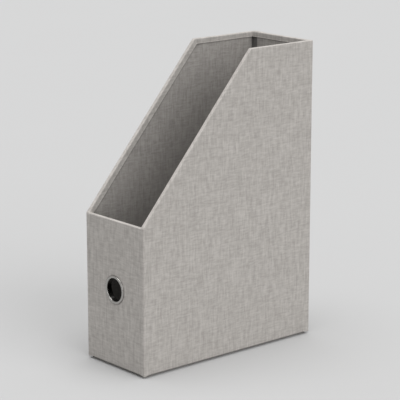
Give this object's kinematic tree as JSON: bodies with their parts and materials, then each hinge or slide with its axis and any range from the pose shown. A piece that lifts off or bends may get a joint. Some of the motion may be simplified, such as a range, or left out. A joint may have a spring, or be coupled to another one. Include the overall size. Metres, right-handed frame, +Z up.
{
  "type": "magazine file box",
  "caption": "Rigid upright file box of cloth-covered board, open at the top, with a sloping rim, a low front and a round metal finger ring in the front.",
  "frame": {"origin": "middle of the base cover, on the table", "axes": "+Z up; -Y towards the low front with the finger ring; +X towards the right side, seen from the front"},
  "size_m": [0.093, 0.234, 0.323],
  "materials": {
    "grey_board": "raw grey board",
    "gummed_tape": "brown kraft paper",
    "corner_tape": "dark grey paper tape",
    "linen_cloth": "matte plain-weave book linen with slubs",
    "linen_lining": "matte plain-weave book linen",
    "base_paper": "dark matte cover paper",
    "infill_card": "raw card",
    "ring_nickel": "polished nickel plate",
    "washer_steel": "plain zinc plate"
  },
  "bodies": {
    "root": {"left_board": "grey_board", "right_board": "grey_board", "front_board": "grey_board", "back_board": "grey_board", "base_board": "grey_board", "front_left_tape": "gummed_tape", "front_right_tape": "gummed_tape", "back_left_tape": "gummed_tape", "back_right_tape": "gummed_tape", "base_left_tape": "gummed_tape", "base_front_tape": "gummed_tape", "base_right_tape": "gummed_tape", "base_back_tape": "gummed_tape", "front_left_inner_tape": "corner_tape", "front_right_inner_tape": "corner_tape", "back_left_inner_tape": "corner_tape", "back_right_inner_tape": "corner_tape", "left_lining": "linen_lining", "right_lining": "linen_lining", "front_lining": "linen_lining", "back_lining": "linen_lining", "base_lining": "linen_lining", "outer_cloth": "linen_cloth", "base_infill": "infill_card", "base_cover": "base_paper", "finger_ring": "ring_nickel", "ring_washer": "washer_steel"}
  },
  "joints": []
}
